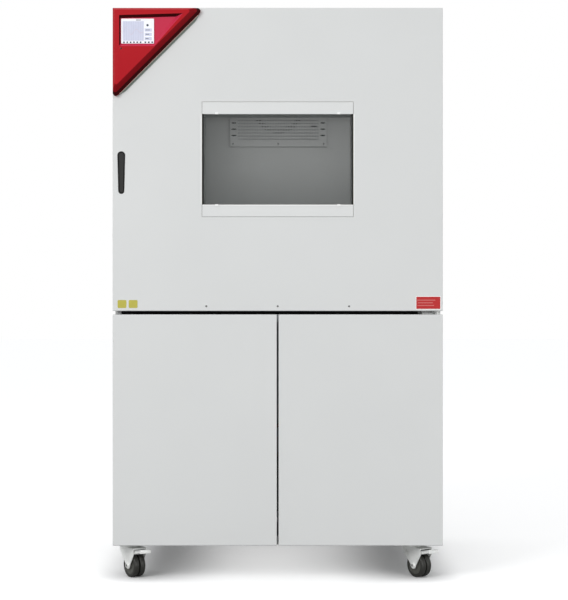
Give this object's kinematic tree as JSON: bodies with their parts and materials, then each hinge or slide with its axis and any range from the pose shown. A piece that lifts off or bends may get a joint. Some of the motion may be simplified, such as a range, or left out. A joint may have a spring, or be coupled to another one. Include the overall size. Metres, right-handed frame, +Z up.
{
  "type": "environmental test chamber",
  "caption": "Upright environmental test chamber on casters: windowed hinged door over a two-door machine bay, with a controller housing on the door's corner.",
  "frame": {"origin": "on the floor, under the middle of the whole part's extents", "axes": "+X to the viewer's right, -Y towards the front, +Z up"},
  "size_m": [1.1399, 0.997, 1.933],
  "materials": {
    "panel_paint": "satin",
    "door_paint": "satin",
    "stainless": "satin",
    "galvanised": "satin",
    "foam": "matte",
    "silicone": "matte",
    "dark_plastic": "matte",
    "glass": "gloss",
    "trim": "satin",
    "zinc": "satin",
    "red_paint": "gloss",
    "grey_plate": "satin",
    "screen": "gloss",
    "black_paint": "satin",
    "copper": "satin",
    "black_plastic": "satin",
    "tyre": "matte",
    "fan_grey": "satin",
    "control_grey": "satin"
  },
  "bodies": {
    "cabinet": {"base_pan": "panel_paint", "side_panel_right": "panel_paint", "side_panel_left": "panel_paint", "top_panel": "panel_paint", "machine_deck": "galvanised", "rear_panel": "panel_paint", "front_frame": "stainless", "chamber_liner": "stainless", "chamber_insulation": "foam", "rack_supports": "stainless", "rack": "stainless", "rear_baffle": "stainless", "fan_cover": "stainless", "fan_cover_screws": "zinc", "fan_motor": "black_paint", "evaporator": "galvanised", "port_sleeve": "stainless", "latch_stud": "zinc", "hinge_brackets": "zinc", "bay_hinge_tabs": "zinc", "compressor_set": "black_paint", "condenser": "galvanised", "refrigerant_lines": "copper", "control_box": "control_grey", "main_switch": "black_plastic", "cable_gland": "black_plastic", "drain_outlet": "black_plastic", "caster_plates": "zinc"},
    "door": {"door_shell": "door_paint", "door_inner_panel": "stainless", "door_insulation": "foam", "door_gasket": "silicone", "window_frame": "dark_plastic", "window_panes": "glass", "window_trim": "trim", "door_fasteners": "zinc", "handle_cup": "dark_plastic", "latch_plate": "galvanised", "controller_plate": "grey_plate", "controller_cover": "red_paint", "display": "screen"},
    "lever": {"handle_lever": "dark_plastic"},
    "jaw_upper": {"latch_jaw_upper": "zinc"},
    "jaw_lower": {"latch_jaw_lower": "zinc"},
    "bay_door_left": {"bay_door_left": "panel_paint"},
    "bay_door_right": {"bay_door_right": "panel_paint"},
    "circulation_fan": {"fan_wheel": "fan_grey"},
    "condenser_fan": {"condenser_fan": "black_plastic"},
    "port_plug": {"port_plug": "silicone"},
    "rocker": {"switch_rocker": "black_plastic"},
    "fork_front_left": {"caster_fork_front_left": "zinc"},
    "wheel_front_left": {"caster_wheel_front_left": "tyre"},
    "pedal_front_left": {"caster_pedal_front_left": "zinc"},
    "fork_front_right": {"caster_fork_front_right": "zinc"},
    "wheel_front_right": {"caster_wheel_front_right": "tyre"},
    "pedal_front_right": {"caster_pedal_front_right": "zinc"},
    "fork_rear_left": {"caster_fork_rear_left": "zinc"},
    "wheel_rear_left": {"caster_wheel_rear_left": "tyre"},
    "fork_rear_right": {"caster_fork_rear_right": "zinc"},
    "wheel_rear_right": {"caster_wheel_rear_right": "tyre"}
  },
  "joints": [
    {"name": "door_hinge", "type": "hinge", "parent": "cabinet", "child": "door", "pos_m": [0.5415, -0.4215, 0.909], "axis": [0, 0, 1], "range_deg": [0, 110]},
    {"name": "handle_pull", "type": "hinge", "parent": "door", "child": "lever", "pos_m": [-0.528, -0.4625, 1.4345], "axis": [-1, 0, 0], "range_deg": [0, 35]},
    {"name": "jaw_upper_turn", "type": "hinge", "parent": "door", "child": "jaw_upper", "pos_m": [-0.496, -0.4185, 1.387], "axis": [0, 1, 0], "range_deg": [0, 18]},
    {"name": "jaw_lower_turn", "type": "hinge", "parent": "door", "child": "jaw_lower", "pos_m": [-0.496, -0.4185, 1.365], "axis": [0, -1, 0], "range_deg": [0, 18]},
    {"name": "bay_door_left_hinge", "type": "hinge", "parent": "cabinet", "child": "bay_door_left", "pos_m": [-0.5495, -0.4585, 0.116], "axis": [0, 0, -1], "range_deg": [0, 100]},
    {"name": "bay_door_right_hinge", "type": "hinge", "parent": "cabinet", "child": "bay_door_right", "pos_m": [0.5495, -0.4585, 0.116], "axis": [0, 0, 1], "range_deg": [0, 100]},
    {"name": "circulation_fan_spin", "type": "hinge", "parent": "cabinet", "child": "circulation_fan", "pos_m": [0, 0.1165, 1.665], "axis": [0, 1, 0], "continuous": true},
    {"name": "condenser_fan_spin", "type": "hinge", "parent": "cabinet", "child": "condenser_fan", "pos_m": [-0.255, 0.335, 0.349], "axis": [0, 1, 0], "continuous": true},
    {"name": "port_plug_slide", "type": "slide", "parent": "cabinet", "child": "port_plug", "axis": [-1, 0, 0], "range_m": [0, 0.18]},
    {"name": "main_switch_tilt", "type": "hinge", "parent": "cabinet", "child": "rocker", "pos_m": [0.5545, -0.3015, 0.777], "axis": [0, -1, 0], "range_deg": [0, 20]},
    {"name": "swivel_front_left", "type": "hinge", "parent": "cabinet", "child": "fork_front_left", "pos_m": [-0.5075, -0.3755, 0.1], "axis": [0, 0, 1], "continuous": true},
    {"name": "roll_front_left", "type": "hinge", "parent": "fork_front_left", "child": "wheel_front_left", "pos_m": [-0.49029, -0.40007, 0.041], "axis": [0.8192, 0.5736, 0], "continuous": true},
    {"name": "brake_front_left", "type": "hinge", "parent": "fork_front_left", "child": "pedal_front_left", "pos_m": [-0.47423, -0.42301, 0.086], "axis": [0.8192, 0.5736, 0], "range_deg": [0, 12]},
    {"name": "swivel_front_right", "type": "hinge", "parent": "cabinet", "child": "fork_front_right", "pos_m": [0.4665, -0.3755, 0.1], "axis": [0, 0, 1], "continuous": true},
    {"name": "roll_front_right", "type": "hinge", "parent": "fork_front_right", "child": "wheel_front_right", "pos_m": [0.48371, -0.40007, 0.041], "axis": [0.8192, 0.5736, 0], "continuous": true},
    {"name": "brake_front_right", "type": "hinge", "parent": "fork_front_right", "child": "pedal_front_right", "pos_m": [0.49977, -0.42301, 0.086], "axis": [0.8192, 0.5736, 0], "range_deg": [0, 12]},
    {"name": "swivel_rear_left", "type": "hinge", "parent": "cabinet", "child": "fork_rear_left", "pos_m": [-0.5075, 0.3765, 0.1], "axis": [0, 0, 1], "continuous": true},
    {"name": "roll_rear_left", "type": "hinge", "parent": "fork_rear_left", "child": "wheel_rear_left", "pos_m": [-0.49029, 0.35193, 0.041], "axis": [0.8192, 0.5736, 0], "continuous": true},
    {"name": "swivel_rear_right", "type": "hinge", "parent": "cabinet", "child": "fork_rear_right", "pos_m": [0.5075, 0.3765, 0.1], "axis": [0, 0, 1], "continuous": true},
    {"name": "roll_rear_right", "type": "hinge", "parent": "fork_rear_right", "child": "wheel_rear_right", "pos_m": [0.52471, 0.35193, 0.041], "axis": [0.8192, 0.5736, 0], "continuous": true}
  ],
  "couplings": [
    {"joint": "jaw_upper_turn", "follows": "handle_pull", "ratio": 0.5},
    {"joint": "jaw_lower_turn", "follows": "handle_pull", "ratio": 0.5}
  ]
}
